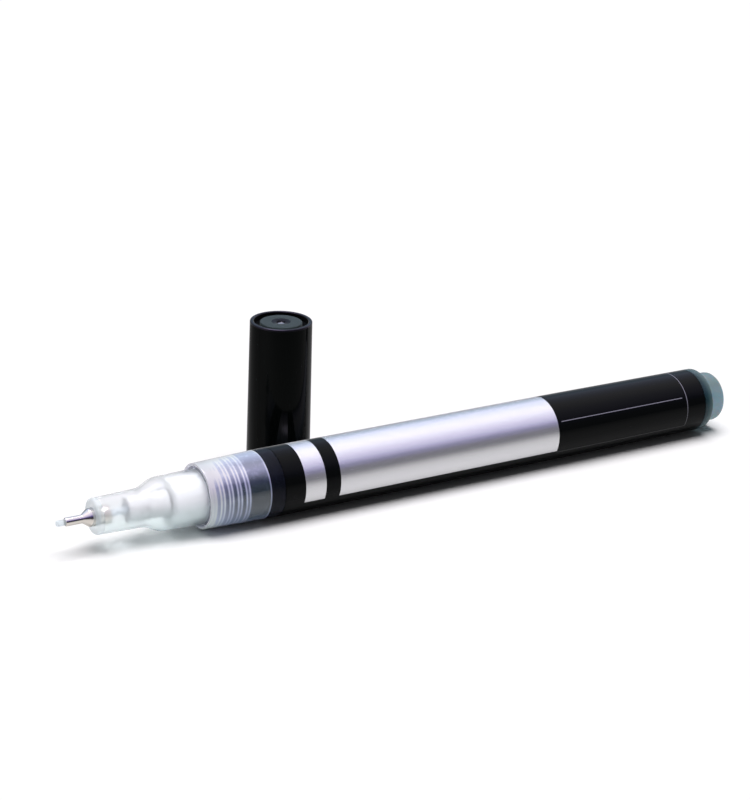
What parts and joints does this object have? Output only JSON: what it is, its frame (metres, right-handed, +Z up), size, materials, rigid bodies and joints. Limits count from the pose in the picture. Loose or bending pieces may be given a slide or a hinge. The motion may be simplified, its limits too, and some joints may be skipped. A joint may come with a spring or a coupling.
{
  "type": "nail art pen",
  "caption": "Slim valve marker for nail art with a needle tip, a clear ribbed nozzle and a banded label, lying beside its standing black cap.",
  "frame": {"origin": "on the floor, under the middle of the box round the pen and its standing cap", "axes": "+X along the pen from nib to tail, +Y towards the cap that stands behind the pen, +Z up"},
  "size_m": [0.1254, 0.0226, 0.0275],
  "materials": {
    "barrel_plastic": "natural translucent polypropylene, grey-teal where ink lies behind it",
    "label_film": "black gloss film with a silver stripe and a wide silver band",
    "clear_plastic": "clear, slightly milky, glossy",
    "needle_steel": "bright turned stainless steel",
    "nib_plastic": "white extruded rod, satin",
    "felt": "white pressed felt",
    "white_plastic": "white moulded, satin",
    "milky_plastic": "milky moulded, satin",
    "rubber": "black, dull",
    "spring_steel": "drawn steel, bright",
    "ink": "wet black",
    "plug_plastic": "natural translucent, pale blue-grey",
    "cap_plastic": "black high gloss"
  },
  "bodies": {
    "pen_body": {"barrel": "barrel_plastic", "label": "label_film", "nozzle": "clear_plastic", "needle_tip": "needle_steel", "feed_wick": "felt", "valve_housing": "milky_plastic", "valve_gasket": "rubber", "valve_spring": "spring_steel", "spring_retainer": "white_plastic", "ink_charge": "ink", "tail_plug": "plug_plastic"},
    "writing_tip": {"nib": "nib_plastic", "valve_stem": "white_plastic"},
    "ball": {"mixing_ball": "spring_steel"},
    "cap": {"cap_shell": "cap_plastic", "cap_liner": "cap_plastic"}
  },
  "joints": [
    {"name": "tip_press", "type": "slide", "parent": "pen_body", "child": "writing_tip", "axis": [1, 0, 0], "range_m": [0, 0.001], "stiffness_N_per_m": 250, "springref_m": -0.002, "deforming": ["valve_spring"]},
    {"name": "ball_run", "type": "slide", "parent": "pen_body", "child": "ball", "axis": [1, 0, 0], "range_m": [-0.0328, 0.0554]},
    {"name": "cap_lift", "type": "slide", "parent": "pen_body", "child": "cap", "axis": [0, 0, 1], "range_m": [0, 0.03]}
  ]
}
